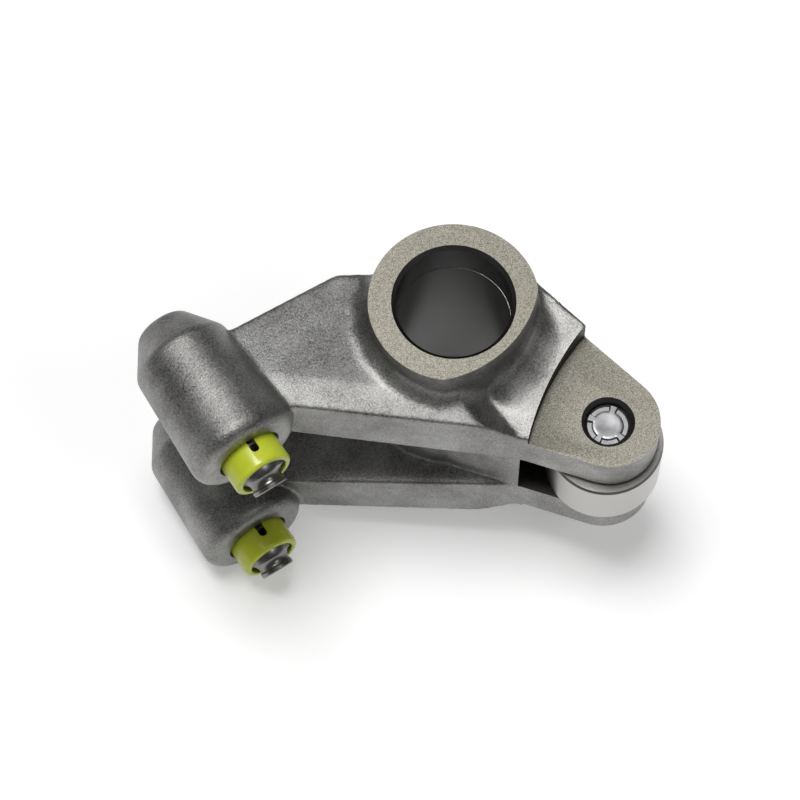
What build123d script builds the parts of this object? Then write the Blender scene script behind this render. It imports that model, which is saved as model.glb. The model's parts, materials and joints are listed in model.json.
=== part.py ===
"""Forked roller rocker arm for an engine with two valves per rocker.

A one-piece body swings on a shaft. A roller in its fork rides on the cam, and two arms each
carry a barrel with a hydraulic lash adjuster, whose swivel foot presses on a valve stem.

Frame, in millimetres: Z is the shaft axis, with the origin at the middle of the shaft bore.
The barrels open towards -Y, the roller lies towards +X and -Y, and the part is a mirror
image of itself about Z = 0. "Near" is the +Z adjuster and "far" is the -Z one.
"""

from build123d import *

import math
import os

# Shaft boss
SHAFT_BORE_DIA = 20.0
BOSS_LENGTH = 56.0
BOSS_DIA = 29.4
BOSS_DRAFT = 1.2
BORE_CHAMFER = 0.6
BORE_LAND = 8.1
BORE_RELIEF_DEPTH = 0.5
FLAT_RADIUS = 20.4
FLAT_CENTRE = (-1.8, 7.7)
ARM_COLLAR_FILLET = 4.2
FORK_COLLAR_FILLET = 2.6
SKIRT_ON_ARM = (104, 122, 140, 158, 176, 194, 210, 225)
SKIRT_BETWEEN = (235, 243, 250, 256, 261, 265, 269, 273, 280)
SKIRT_ON_FORK = (290, 307, 324, 341, 358)
SKIRT_STEPS = 4
SKIRT_SINK = 0.15
SKIRT_ROOT = 2.2

# Roller, its pin and its needle rollers
PIN_CENTRE = (13.4, -28.3)
PIN_DIA = 8.0
PIN_HOLE_CHAMFER = 0.65
PIN_RECESS = 1.3
PIN_EDGE = 0.4
STAKE_COUNT = 4
STAKE_SIZE = 0.9
STAKE_DEPTH = 0.5
ROLLER_DIA = 20.3
ROLLER_WIDTH = 11.2
ROLLER_EDGE = 0.35
NEEDLE_DIA = 1.6
NEEDLE_COUNT = 18
NEEDLE_END_GAP = 0.2
NEEDLE_CLEARANCE = 0.02

# Fork that holds the roller
FORK_WIDTH = 27.8
ROLLER_SIDE_GAP = 0.6
ROLLER_RADIAL_GAP = 1.2
EAR_RADIUS = 8.7
EAR_SHIFT = 0.45
FORK_LOWER_ANGLE = -51.7
EAR_STEP_RADIUS = 50.0
EAR_STEP_REACH = 11.9
EAR_STEP_ANGLE = -58.0
FORK_HEIGHT = 17.5
FORK_RISE_X = 8.4
FORK_RISE_Y = 5.1
FORK_CORNER = (16.3, -0.8)
FORK_CORNER_RADIUS = 1.2
FORK_OVERLAP = 2.0
SLOT_BACK_REACH = 15.2

# Arms between the boss and the barrels
ARM_LOWER_ANGLE = -37.5
ARM_LOWER_OFFSET = 19.3
ARM_TOP = 18.2
ARM_TOP_END = -12.4
ARM_TOP_FALL = 18.0
ARM_INNER_HALF_GAP = 7.0
ARM_INNER_SPLAY = 10.0
ARM_OUTER_HEIGHT = 20.6
ARM_OUTER_SPLAY = 7.8
ARM_REF = -7.8
ARM_END_SLOPE = 40.0
BEVEL_WIDTH = 5.4
BEVEL_DROP = 1.1
GAP_ANGLE = 216.0

# Barrels for the lash adjusters
BARREL_SPACING = 39.6
BARREL_X = -42.6
BARREL_MOUTH = -1.6
BARREL_LENGTH = 28.4
BARREL_TOP_DIA = 18.1
BARREL_MOUTH_DIA = 20.2
CONE_LENGTH = 6.7
CONE_FLAT_DIA = 9.3
ADJUSTER_BORE_DIA = 11.0
ADJUSTER_BORE_DEPTH = 21.5
ADJUSTER_BORE_CHAMFER = 0.4
OIL_HOLE_DIA = 2.0
OIL_HOLE_DEPTH = 15.0
BARREL_MOUTH_FILLET = 2.4
BARREL_TOP_FILLET = 1.5

# Lash adjuster, with lengths along its axis
HOUSING_CLEARANCE = 0.03
HOUSING_LENGTH = 17.7
HOUSING_DROP = 0.4
HOUSING_WALL = 1.55
HOUSING_FLOOR = 1.6
CAP_SEAT = 2.6
BALL_END_DIA = 5.6
BALL_NECK_DIA = 4.0
BALL_DROP = 2.7
DISC_THICKNESS = 1.2
DISC_CLEARANCE = 0.2
DISC_GROOVE = 0.8
PLUNGER_CLEARANCE = 0.02
PLUNGER_LENGTH = 12.3
PLUNGER_WALL = 1.2
PLUNGER_FLOOR = 1.8
PLUNGER_STEP = 0.4
PLUNGER_SHOULDER = 4.15
VALVE_HOLE_DIA = 2.2
CHECK_BALL_DIA = 3.0
CHECK_BALL_GAP = 0.02
CAGE_WALL = 0.4
CAGE_DEPTH = 3.6
CAGE_CLEARANCE = 0.25
CAGE_FLANGE_DIA = 6.8
CLIP_THICKNESS = 0.4
CLIP_DEPTH = 0.3
CLIP_GAP = 0.05
PLUNGER_WIRE = 0.7
PLUNGER_SPRING_TURNS = 3.0
BALL_WIRE = 0.24
BALL_SPRING_TURNS = 2.0
SPRING_SEAT_GAP = 0.02
WIRE_SIDES = 6

# Retaining cap and swivel foot
CAP_WALL = 0.8
CAP_FIT = 0.05
CAP_REACH = 4.8
CAP_INSERT = 2.0
CAP_LIP = 0.6
CAP_LIP_INWARD = 0.35
CAP_BEAD = 0.15
CAP_BEAD_WIDTH = 0.6
CAP_BEAD_HEIGHT = 0.9
CAP_SLOTS = 3
CAP_SLOT_WIDTH = 1.5
CAP_SLOT_REACH = 2.2
CAP_SLOT_START = 4.0
FOOT_REACH = 7.1
FOOT_DIA = 6.3
FOOT_FLANGE_GAP = 0.12
FOOT_SOCKET_CLEARANCE = 0.03
FOOT_WRAP = 0.5
FOOT_FLANGE_REACH = 1.55
FOOT_EDGE = 0.2
FOOT_DROOP = 20.0

PIN = Vector(PIN_CENTRE[0], PIN_CENTRE[1])
EAR = PIN + Vector(EAR_SHIFT, 0)
HALF_BOSS = BOSS_LENGTH / 2
HALF_FORK = FORK_WIDTH / 2
HALF_SLOT = ROLLER_WIDTH / 2 + ROLLER_SIDE_GAP
BARREL_Z = BARREL_SPACING / 2
FAR_OUT = 80.0
BORE_R = ADJUSTER_BORE_DIA / 2
HOUSING_R = BORE_R - HOUSING_CLEARANCE
HOUSING_BORE_R = HOUSING_R - HOUSING_WALL
PLUNGER_R = HOUSING_BORE_R - PLUNGER_CLEARANCE
PLUNGER_TOP = ADJUSTER_BORE_DEPTH - DISC_THICKNESS
PLUNGER_BOTTOM = PLUNGER_TOP - PLUNGER_LENGTH
SHOULDER = PLUNGER_TOP - PLUNGER_SHOULDER
HOUSING_TOP = HOUSING_LENGTH - HOUSING_DROP
FLOOR_TOP = HOUSING_FLOOR - HOUSING_DROP
CAP_INNER_R = BORE_R - 0.1 - CAP_WALL
CAP_SEAT_R = CAP_INNER_R - CAP_FIT


def unit(angle):
    """Direction in the XY plane at an angle in degrees from +X."""
    return Vector(math.cos(math.radians(angle)), math.sin(math.radians(angle)))


def crossing(point_a, angle_a, point_b, angle_b):
    """Point where two lines in the XY plane cross."""
    a, b = unit(angle_a), unit(angle_b)
    step = point_b - point_a
    along = (step.X * b.Y - step.Y * b.X) / (a.X * b.Y - a.Y * b.X)
    return point_a + a * along


def ring_tangent(centre, radius, angle):
    """Point on a circle where a line at this angle touches it on its right-hand side."""
    return centre + unit(angle - 90) * radius


def raised(face, height):
    """The flat face pulled up along Z, whichever way round its outline runs."""
    return extrude(face, height, dir=(0, 0, 1))


def mirrored(shape):
    """The shape joined with its mirror image about Z = 0."""
    return shape + mirror(shape, about=Plane.XY)


def lower_corners():
    """Corners of the lower edge: under the barrel, at the knee, and where the ear's arc starts."""
    arm_line = unit(ARM_LOWER_ANGLE - 90) * ARM_LOWER_OFFSET
    ear_start = ring_tangent(EAR, EAR_RADIUS, FORK_LOWER_ANGLE)
    knee = crossing(arm_line, ARM_LOWER_ANGLE, ear_start, FORK_LOWER_ANGLE)
    under_barrel = crossing(arm_line, ARM_LOWER_ANGLE, Vector(BARREL_X, 0), 90)
    return under_barrel, knee, ear_start


def corners(*points):
    """A face through corner points, facing +Z whichever way round they are given."""
    flat = [(p.X, p.Y) if isinstance(p, Vector) else p for p in points]
    turn = sum(a[0] * b[1] - b[0] * a[1] for a, b in zip(flat, flat[1:] + flat[:1]))
    return Polygon(*(flat if turn > 0 else flat[::-1]), align=None)


def arm_side():
    """Side view of an arm, from the boss to the barrel's axis."""
    under_barrel, knee, _ = lower_corners()
    touch = unit(90 + ARM_TOP_FALL) * (BOSS_DIA / 2)
    return corners(
        (0, 0), touch, (ARM_TOP_END, ARM_TOP), (BARREL_X, ARM_TOP), under_barrel, knee,
    )


def fork_side():
    """Side view of the block that carries the roller."""
    _, knee, ear_start = lower_corners()
    corner = Vector(*FORK_CORNER)
    reach = (corner - EAR).length
    turn = math.degrees(math.acos(EAR_RADIUS / reach))
    to_corner = math.degrees(math.atan2(corner.Y - EAR.Y, corner.X - EAR.X))
    ear_end = EAR + unit(to_corner - turn) * EAR_RADIUS
    ear = Pos(EAR.X, EAR.Y) * Circle(EAR_RADIUS)
    touch = unit(GAP_ANGLE) * (BOSS_DIA / 2)
    under_gap = crossing(touch, GAP_ANGLE + 90, knee, ARM_LOWER_ANGLE)
    into_arm = unit(180 + ARM_LOWER_ANGLE) * FORK_OVERLAP
    return ear + corners(
        (0, FORK_CORNER[1]), corner, ear_end, EAR, ear_start, knee,
        under_gap + into_arm, touch + into_arm, (0, 0),
    )


def arm_plan():
    """Plan view of the near arm in X and Z, closed by lines that splay towards the barrel."""
    inner = math.tan(math.radians(ARM_INNER_SPLAY))
    outer = math.tan(math.radians(ARM_OUTER_SPLAY))
    run = ARM_REF - BARREL_X
    end = ARM_OUTER_HEIGHT / math.tan(math.radians(ARM_END_SLOPE))
    with BuildSketch(Plane.XZ) as plan:
        with BuildLine():
            Polyline(
                (BARREL_X, ARM_INNER_HALF_GAP + run * inner),
                (BARREL_X, ARM_OUTER_HEIGHT + run * outer),
                (ARM_REF, ARM_OUTER_HEIGHT),
                (ARM_REF + end, 0),
                (ARM_REF, 0),
                (ARM_REF, ARM_INNER_HALF_GAP),
                close=True,
            )
        make_face()
    return plan.sketch


def arm_solid():
    """Near arm: the side view cut to its splayed plan, with a bevel along its lower edge."""
    side = raised(arm_side(), BARREL_SPACING)
    arm = side & extrude(arm_plan(), FAR_OUT, both=True)
    edge = unit(ARM_LOWER_ANGLE - 90) * ARM_LOWER_OFFSET
    rise = math.degrees(math.atan2(BEVEL_DROP, BEVEL_WIDTH))
    splay = Vector(math.tan(math.radians(-ARM_OUTER_SPLAY)), 0, 1)
    along = Vector(unit(ARM_LOWER_ANGLE).X, unit(ARM_LOWER_ANGLE).Y, 0)
    along = along + Vector(0, 0, -along.X * math.tan(math.radians(ARM_OUTER_SPLAY)))
    inward = -unit(ARM_LOWER_ANGLE - 90)
    height = ARM_OUTER_HEIGHT - BEVEL_DROP
    height = height - (edge.X - ARM_REF) * math.tan(math.radians(ARM_OUTER_SPLAY))
    slope = Vector(inward.X, inward.Y, math.tan(math.radians(rise)))
    slope = slope + Vector(0, 0, -inward.X * math.tan(math.radians(ARM_OUTER_SPLAY)))
    normal = along.cross(slope)
    if normal.dot(splay) < 0:
        normal = -normal
    face = Plane(origin=(edge.X, edge.Y, height), x_dir=along, z_dir=normal)
    return arm - extrude(face * Rectangle(2 * FAR_OUT, 2 * FAR_OUT), FAR_OUT)


def fork_solid():
    """Near half of the roller's block, under a cast face that falls towards the knee."""
    block = raised(fork_side(), BARREL_SPACING)
    upright = block.edges().filter_by(Axis.Z).sort_by(lambda e: (e.center() - Vector(*FORK_CORNER)).length)
    block = fillet(upright[0], FORK_CORNER_RADIUS)
    fall = Vector(-math.tan(math.radians(FORK_RISE_X)), -math.tan(math.radians(FORK_RISE_Y)), 1)
    top = Plane(origin=(0, 0, FORK_HEIGHT), z_dir=fall)
    return block - raised(top * Rectangle(2 * FAR_OUT, 2 * FAR_OUT), FAR_OUT)


def face_height(point):
    """Height of the forged face at a point: the arm's, its slope to the fork, or the fork's."""
    rise = ARM_OUTER_SPLAY if point.X < ARM_REF else ARM_END_SLOPE
    arm = ARM_OUTER_HEIGHT + (ARM_REF - point.X) * math.tan(math.radians(rise))
    inside = ARM_LOWER_OFFSET - point.dot(unit(ARM_LOWER_ANGLE - 90))
    arm = arm - BEVEL_DROP * max(0, 1 - inside / BEVEL_WIDTH)
    fork = FORK_HEIGHT + point.X * math.tan(math.radians(FORK_RISE_X))
    fork = fork + point.Y * math.tan(math.radians(FORK_RISE_Y))
    return max(arm, fork)


def collar_reach(angle):
    """Distance from the bore's axis to the collar's wall at its end face."""
    centre = Vector(*FLAT_CENTRE)
    along = centre.dot(unit(angle))
    flat = along + math.sqrt(FLAT_RADIUS ** 2 - centre.length ** 2 + along ** 2)
    return min(BOSS_DIA / 2, flat)


def skirt_section(angle):
    """Section of the fillet at the collar's foot, as deep as the face that it runs into."""
    share = (angle - SKIRT_ON_ARM[-1]) / (SKIRT_ON_FORK[0] - SKIRT_ON_ARM[-1])
    share = min(max(share, 0), 1)
    sweep = ARM_COLLAR_FILLET + (FORK_COLLAR_FILLET - ARM_COLLAR_FILLET) * share
    foot = face_height(unit(angle) * (collar_reach(angle) + sweep)) - SKIRT_SINK
    top = foot + sweep
    draft = math.tan(math.radians(BOSS_DRAFT))
    wall = collar_reach(angle) + (HALF_BOSS - top) * draft - SKIRT_SINK
    out = wall + sweep
    bend = [Vector(out, top) + unit(270 - 90 * k / SKIRT_STEPS) * sweep for k in range(SKIRT_STEPS + 1)]
    root = [(wall - SKIRT_ROOT, top), (wall - SKIRT_ROOT, foot - SKIRT_ROOT), (out, foot - SKIRT_ROOT)]
    around = Plane(origin=(0, 0, 0), x_dir=unit(angle), z_dir=unit(angle - 90))
    return (around * corners(*bend, *root)).face()


def collar_solid():
    """Near half of the boss, with its flat side and the fillet that runs into arm and fork."""
    ring = Circle(BOSS_DIA / 2) & Pos(*FLAT_CENTRE) * Circle(FLAT_RADIUS)
    plain = extrude(Pos(0, 0, HALF_BOSS) * ring, -HALF_BOSS, taper=-BOSS_DRAFT)
    angles = SKIRT_ON_ARM + SKIRT_BETWEEN + SKIRT_ON_FORK
    skirt = loft([skirt_section(angle) for angle in angles], ruled=True)
    return plain + (skirt & raised(arm_side() + fork_side(), HALF_BOSS))


def barrel_solid():
    """Near barrel, turned about its own axis: drafted wall, cone and flat top."""
    top = BARREL_MOUTH + BARREL_LENGTH
    shoulder = top - CONE_LENGTH
    with BuildSketch() as half:
        with BuildLine():
            Polyline(
                (0, BARREL_MOUTH), (BARREL_MOUTH_DIA / 2, BARREL_MOUTH),
                (BARREL_TOP_DIA / 2, shoulder), (CONE_FLAT_DIA / 2, top), (0, top),
                close=True,
            )
        make_face()
        rim = half.vertices().sort_by(Axis.X)[-1]
        fillet(rim, BARREL_MOUTH_FILLET)
        upper = half.vertices().filter_by(lambda v: v.X > 1 and v.Y > shoulder - 1)
        fillet(upper, BARREL_TOP_FILLET)
    turned = revolve(half.sketch, Axis.Y)
    return Pos(BARREL_X, 0, BARREL_Z) * turned


def gap_cutter():
    """Space between the two arms, closed towards the fork by a wall that stands along Z."""
    touch = unit(GAP_ANGLE) * (BOSS_DIA / 2)
    low = touch + unit(GAP_ANGLE + 90) * FAR_OUT
    region = corners(touch, low, (-2 * FAR_OUT, low.Y), (-2 * FAR_OUT, FAR_OUT), (0, FAR_OUT), (0, 0))
    inner = math.tan(math.radians(ARM_INNER_SPLAY))
    narrow = ARM_INNER_HALF_GAP + ARM_REF * inner
    wide = ARM_INNER_HALF_GAP + (ARM_REF + 2 * FAR_OUT) * inner
    wedge = corners((0, narrow), (-2 * FAR_OUT, wide), (-2 * FAR_OUT, -wide), (0, -narrow))
    tall = extrude(Plane.XZ * wedge, FAR_OUT, both=True)
    return extrude(region, FAR_OUT, both=True) & tall


def ear_mill():
    """Cutter that leaves the flat ear face behind a curved step."""
    centre = PIN + unit(EAR_STEP_ANGLE) * (EAR_STEP_RADIUS - EAR_STEP_REACH)
    disc = Pos(centre.X, centre.Y, HALF_FORK) * Circle(EAR_STEP_RADIUS)
    return extrude(disc, FAR_OUT)


def slot_cutter():
    """Slot between the ears: round above the roller, open below and to the right."""
    clear = ROLLER_DIA / 2 + ROLLER_RADIAL_GAP
    back = unit(180) * SLOT_BACK_REACH
    pocket = Pos(PIN.X, PIN.Y) * Circle(clear)
    left = Pos(PIN.X, PIN.Y) * Polygon(
        (0, clear), (back.X * 0.72, clear * 0.82), (back.X, clear * 0.3), (back.X, -FAR_OUT),
        (FAR_OUT, -FAR_OUT), (FAR_OUT, 0), (0, 0), align=None,
    )
    return extrude(pocket + left, HALF_SLOT, both=True)


def rocker_body():
    """The one-piece body, machined where it holds something."""
    levers = mirrored(arm_solid() + fork_solid()) - gap_cutter()
    body = levers + mirrored(collar_solid()) + mirrored(barrel_solid())
    mill = ear_mill()
    body = body - mill - mirror(mill, about=Plane.XY) - slot_cutter()
    bore = Cylinder(SHAFT_BORE_DIA / 2, BOSS_LENGTH)
    relief = Cylinder(SHAFT_BORE_DIA / 2 + BORE_RELIEF_DEPTH, BOSS_LENGTH - 2 * BORE_LAND)
    body = body - bore - relief
    mouth = Pos(0, 0, HALF_BOSS) * Cone(
        SHAFT_BORE_DIA / 2, SHAFT_BORE_DIA / 2 + BORE_CHAMFER, BORE_CHAMFER,
        align=(Align.CENTER, Align.CENTER, Align.MAX),
    )
    body = body - mouth - mirror(mouth, about=Plane.XY)
    body = body - Pos(PIN.X, PIN.Y) * Cylinder(PIN_DIA / 2, FORK_WIDTH)
    eye = Pos(PIN.X, PIN.Y, HALF_FORK) * Cone(
        PIN_DIA / 2, PIN_DIA / 2 + PIN_HOLE_CHAMFER, PIN_HOLE_CHAMFER,
        align=(Align.CENTER, Align.CENTER, Align.MAX),
    )
    body = body - eye - mirror(eye, about=Plane.XY)
    drill = adjuster_bore() + oil_hole()
    return body - drill - mirror(drill, about=Plane.XY)


def axial(radius, low, high):
    """A cylinder on the near adjuster's axis, with heights counted up from the mouth."""
    height = high - low
    turned = Rot(-90, 0, 0) * Cylinder(radius, height, align=(Align.CENTER, Align.CENTER, Align.MIN))
    return Pos(BARREL_X, BARREL_MOUTH + low, BARREL_Z) * turned


def axial_turned(points):
    """A solid turned about the near adjuster's axis from (radius, height) points."""
    half = Polygon(*points, align=None)
    return Pos(BARREL_X, BARREL_MOUTH, BARREL_Z) * revolve(half, Axis.Y)


def axial_sphere(radius, height):
    """A ball centred on the near adjuster's axis."""
    return Pos(BARREL_X, BARREL_MOUTH + height, BARREL_Z) * Sphere(radius)


def adjuster_bore():
    """Blind bore of the near barrel with a chamfered mouth."""
    wide = BORE_R + ADJUSTER_BORE_CHAMFER
    return axial_turned([
        (0, -1), (wide, -1), (wide, 0), (BORE_R, ADJUSTER_BORE_CHAMFER),
        (BORE_R, ADJUSTER_BORE_DEPTH), (0, ADJUSTER_BORE_DEPTH),
    ])


def oil_hole():
    """Drilling through the near arm from the relieved shaft bore to the barrel."""
    start = Vector(0, 0, BARREL_Z / 4)
    end = Vector(BARREL_X, BARREL_MOUTH + OIL_HOLE_DEPTH, BARREL_Z)
    path = Plane(origin=start, z_dir=end - start)
    return extrude(path * Circle(OIL_HOLE_DIA / 2), (end - start).length)


def roller_pin():
    """Pin pressed into the ears, with staked ends below the ear faces."""
    length = FORK_WIDTH - 2 * PIN_RECESS
    pin = Cylinder(PIN_DIA / 2, length)
    pin = chamfer(pin.edges().filter_by(GeomType.CIRCLE), PIN_EDGE)
    for turn in range(STAKE_COUNT):
        angle = 45 + turn * 360 / STAKE_COUNT
        notch = Rot(0, 0, angle) * Pos(PIN_DIA / 2, 0, length / 2) * Box(
            2 * STAKE_SIZE, STAKE_SIZE, 2 * STAKE_DEPTH
        )
        pin = pin - notch - mirror(notch, about=Plane.XY)
    return Pos(PIN.X, PIN.Y) * pin


def needle_pitch_radius():
    return PIN_DIA / 2 + NEEDLE_DIA / 2 + NEEDLE_CLEARANCE


def roller():
    """Hardened roller with broken outer edges."""
    inner = PIN_DIA / 2 + NEEDLE_DIA + 2 * NEEDLE_CLEARANCE
    ring = Cylinder(ROLLER_DIA / 2, ROLLER_WIDTH)
    ring = chamfer(ring.edges().filter_by(GeomType.CIRCLE), ROLLER_EDGE)
    return Pos(PIN.X, PIN.Y) * (ring - Cylinder(inner, ROLLER_WIDTH))


def needle_rollers():
    """Full set of loose needle rollers, as a group of separate solids."""
    needle = Cylinder(NEEDLE_DIA / 2, ROLLER_WIDTH - 2 * NEEDLE_END_GAP)
    places = PolarLocations(needle_pitch_radius(), NEEDLE_COUNT)
    return Compound(children=[Pos(PIN.X, PIN.Y) * place * needle for place in places])


def support_disc():
    """Hard disc at the bottom of the bore, with cross grooves that let oil through."""
    radius = BORE_R - DISC_CLEARANCE
    disc = axial(radius, PLUNGER_TOP, ADJUSTER_BORE_DEPTH)
    level = BARREL_MOUTH + ADJUSTER_BORE_DEPTH
    cut = Box(2 * radius, DISC_GROOVE, DISC_GROOVE) + Box(DISC_GROOVE, DISC_GROOVE, 2 * radius)
    return disc - Pos(BARREL_X, level, BARREL_Z) * cut - axial(
        VALVE_HOLE_DIA / 2, PLUNGER_TOP, ADJUSTER_BORE_DEPTH
    )


def plunger():
    """Stepped hollow piston: oil store above, valve seat below."""
    inner = PLUNGER_R - PLUNGER_WALL
    body = axial(PLUNGER_R, PLUNGER_BOTTOM, SHOULDER)
    body = body + axial(PLUNGER_R - PLUNGER_STEP, SHOULDER, PLUNGER_TOP)
    body = body - axial(inner - PLUNGER_STEP, PLUNGER_BOTTOM + PLUNGER_FLOOR, PLUNGER_TOP)
    return body - axial(VALVE_HOLE_DIA / 2, PLUNGER_BOTTOM, PLUNGER_TOP)


def check_ball_height():
    ball, hole = CHECK_BALL_DIA / 2, VALVE_HOLE_DIA / 2
    return PLUNGER_BOTTOM - math.sqrt(ball**2 - hole**2) - CHECK_BALL_GAP


def check_ball():
    return axial_sphere(CHECK_BALL_DIA / 2, check_ball_height())


def ball_cage():
    """Pressed cup that keeps the check ball under the plunger."""
    inner = CHECK_BALL_DIA / 2 + CAGE_CLEARANCE
    top, bottom = PLUNGER_BOTTOM, PLUNGER_BOTTOM - CAGE_DEPTH
    cup = axial(inner + CAGE_WALL, bottom, top) + axial(CAGE_FLANGE_DIA / 2, top - CAGE_WALL, top)
    cup = cup - axial(inner, bottom + CAGE_WALL, top)
    return cup - axial(VALVE_HOLE_DIA / 4, bottom, top)


def coil(mean_radius, wire, low, high, turns):
    """Compression spring of six-sided wire on the near adjuster's axis."""
    start, end = low + wire / 2, high - wire / 2
    path = Helix(pitch=(end - start) / turns, height=end - start, radius=mean_radius)
    section = Plane(origin=path @ 0, z_dir=path % 0) * RegularPolygon(wire / 2, WIRE_SIDES)
    spring = sweep(section, path=path)
    return Pos(BARREL_X, BARREL_MOUTH + start, BARREL_Z) * Rot(-90, 0, 0) * spring


def plunger_spring():
    """Return spring from the housing floor to the flange of the ball cage."""
    mean = (HOUSING_BORE_R + CHECK_BALL_DIA / 2 + CAGE_CLEARANCE + CAGE_WALL) / 2
    high = PLUNGER_BOTTOM - CAGE_WALL - SPRING_SEAT_GAP
    return coil(mean, PLUNGER_WIRE, FLOOR_TOP + SPRING_SEAT_GAP, high, PLUNGER_SPRING_TURNS)


def ball_spring():
    """Light spring that holds the check ball on its seat."""
    mean = CHECK_BALL_DIA / 3
    rise = math.sqrt((CHECK_BALL_DIA / 2 + BALL_WIRE / 2) ** 2 - mean**2)
    high = check_ball_height() - rise + BALL_WIRE / 2 - 2 * SPRING_SEAT_GAP
    low = PLUNGER_BOTTOM - CAGE_DEPTH + CAGE_WALL + SPRING_SEAT_GAP
    return coil(mean, BALL_WIRE, low, high, BALL_SPRING_TURNS)


def housing():
    """Sliding cup of the adjuster, closed below by the ball that carries the foot."""
    shell = axial(HOUSING_R, CAP_SEAT, HOUSING_TOP)
    shell = shell + axial(CAP_SEAT_R, -HOUSING_DROP, CAP_SEAT)
    bead = CAP_BEAD_HEIGHT
    groove = axial(CAP_SEAT_R, bead - CAP_FIT, bead + CAP_BEAD_WIDTH + CAP_FIT)
    groove = groove - axial(CAP_SEAT_R - CAP_BEAD - CAP_FIT, -1, CAP_SEAT)
    shell = shell - groove
    shell = shell + axial(BALL_NECK_DIA / 2, -BALL_DROP, -HOUSING_DROP)
    shell = shell + axial_sphere(BALL_END_DIA / 2, -BALL_DROP)
    shell = shell - axial(HOUSING_BORE_R, FLOOR_TOP, HOUSING_TOP)
    low = SHOULDER + CLIP_GAP
    return shell - axial(HOUSING_BORE_R + CLIP_DEPTH, low, low + CLIP_THICKNESS)


def retaining_clip():
    """Wire ring in the housing that stops the plunger at its shoulder."""
    low = SHOULDER + CLIP_GAP
    inner = PLUNGER_R - PLUNGER_STEP + CLIP_GAP * 2
    ring = axial(HOUSING_BORE_R + CLIP_DEPTH, low, low + CLIP_THICKNESS)
    ring = ring - axial(inner, low, low + CLIP_THICKNESS)
    wide = 2 * HOUSING_R
    opening = Pos(BARREL_X, BARREL_MOUTH + low, BARREL_Z + HOUSING_R) * Box(1.6, 4, wide)
    return ring - opening


def retaining_cap():
    """Moulded sleeve that snaps on the housing and keeps the foot on its ball."""
    outer = CAP_INNER_R + CAP_WALL
    lip_r = CAP_INNER_R - CAP_LIP_INWARD
    bead = CAP_BEAD_HEIGHT
    cap = axial(outer, -CAP_REACH, CAP_INSERT)
    ends = cap.edges().filter_by(GeomType.CIRCLE).sort_by(Axis.Y)
    cap = fillet(ends[0], CAP_LIP * 0.8)
    cap = cap - axial(CAP_INNER_R, -CAP_REACH + CAP_LIP, CAP_INSERT)
    cap = cap - axial(lip_r, -CAP_REACH, -CAP_REACH + CAP_LIP)
    ring = axial(CAP_INNER_R, bead, bead + CAP_BEAD_WIDTH)
    cap = cap + (ring - axial(CAP_SEAT_R - CAP_BEAD, bead, bead + CAP_BEAD_WIDTH))
    for turn in range(CAP_SLOTS):
        cut = Pos(0, 0, outer) * (
            Box(CAP_SLOT_WIDTH, 2 * CAP_INSERT + 2 * CAP_SLOT_REACH - CAP_SLOT_WIDTH, outer)
            + Pos(0, -CAP_INSERT - CAP_SLOT_REACH + CAP_SLOT_WIDTH / 2, 0)
            * Cylinder(CAP_SLOT_WIDTH / 2, outer)
        )
        cut = Pos(0, CAP_INSERT, 0) * cut
        cut = Rot(0, CAP_SLOT_START + turn * 360 / CAP_SLOTS, 0) * cut
        cap = cap - Pos(BARREL_X, BARREL_MOUTH, BARREL_Z) * cut
    return cap


def swivel_foot():
    """Foot with a ball socket, tipped as it hangs when the part lies on its side."""
    flange = CAP_INNER_R - FOOT_FLANGE_GAP
    socket = BALL_END_DIA / 2 + FOOT_SOCKET_CLEARANCE
    flange_band = Cylinder(flange, FOOT_WRAP + FOOT_FLANGE_REACH, align=(
        Align.CENTER, Align.CENTER, Align.MIN))
    top = Pos(0, 0, -FOOT_FLANGE_REACH) * flange_band & Sphere(flange)
    reach = FOOT_REACH - BALL_DROP
    pad = Pos(0, 0, -reach) * Cylinder(FOOT_DIA / 2, reach, align=(
        Align.CENTER, Align.CENTER, Align.MIN))
    pad = chamfer(pad.edges().filter_by(GeomType.CIRCLE).sort_by(Axis.Z)[0], FOOT_EDGE)
    foot = top + pad - Sphere(socket)
    tipped = Rot(FOOT_DROOP, 0, 0) * (Rot(-90, 0, 0) * foot)
    return Pos(BARREL_X, BARREL_MOUTH - BALL_DROP, BARREL_Z) * tipped


os.makedirs("parts", exist_ok=True)
nodes = {
    "rocker_body": rocker_body(),
    "roller_pin": roller_pin(),
    "roller": roller(),
    "needle_rollers": needle_rollers(),
}
adjuster = {
    "support_disc": support_disc,
    "plunger": plunger,
    "ball_cage": ball_cage,
    "check_ball": check_ball,
    "ball_spring": ball_spring,
    "plunger_spring": plunger_spring,
    "housing": housing,
    "retaining_clip": retaining_clip,
    "retaining_cap": retaining_cap,
    "swivel_foot": swivel_foot,
}
for name, make in adjuster.items():
    near_piece = make()
    nodes["near_" + name] = near_piece
    nodes["far_" + name] = Pos(0, 0, -BARREL_SPACING) * near_piece

for name, shape in nodes.items():
    export_step(shape, "parts/" + name + ".step")
    print(name, round(shape.volume, 1))
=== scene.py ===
# %% [markdown]
# A roller rocker arm, dressed for a product photograph.
#
# The part is a steel forging that rocks on a shaft. A roller in its fork rides on a cam, and
# two barrels carry hydraulic lash adjusters with yellow caps and swivel feet. The solids come
# from the frame. This script adds what the eye needs: the soft skin of a forging, crisp
# machined faces, finishes, light and a camera.
#
# Blender counts in metres. A part of this size is easier to think of in millimetres, so the
# sizes of its pieces are in millimetres below, and MM turns them into metres where a mesh is
# made. The studio, and how high the grain of a finish stands, stay in metres.

# %% The frame and its measurements
import json
import math

import bmesh
import bpy
from mathutils import Matrix, Vector


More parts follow.
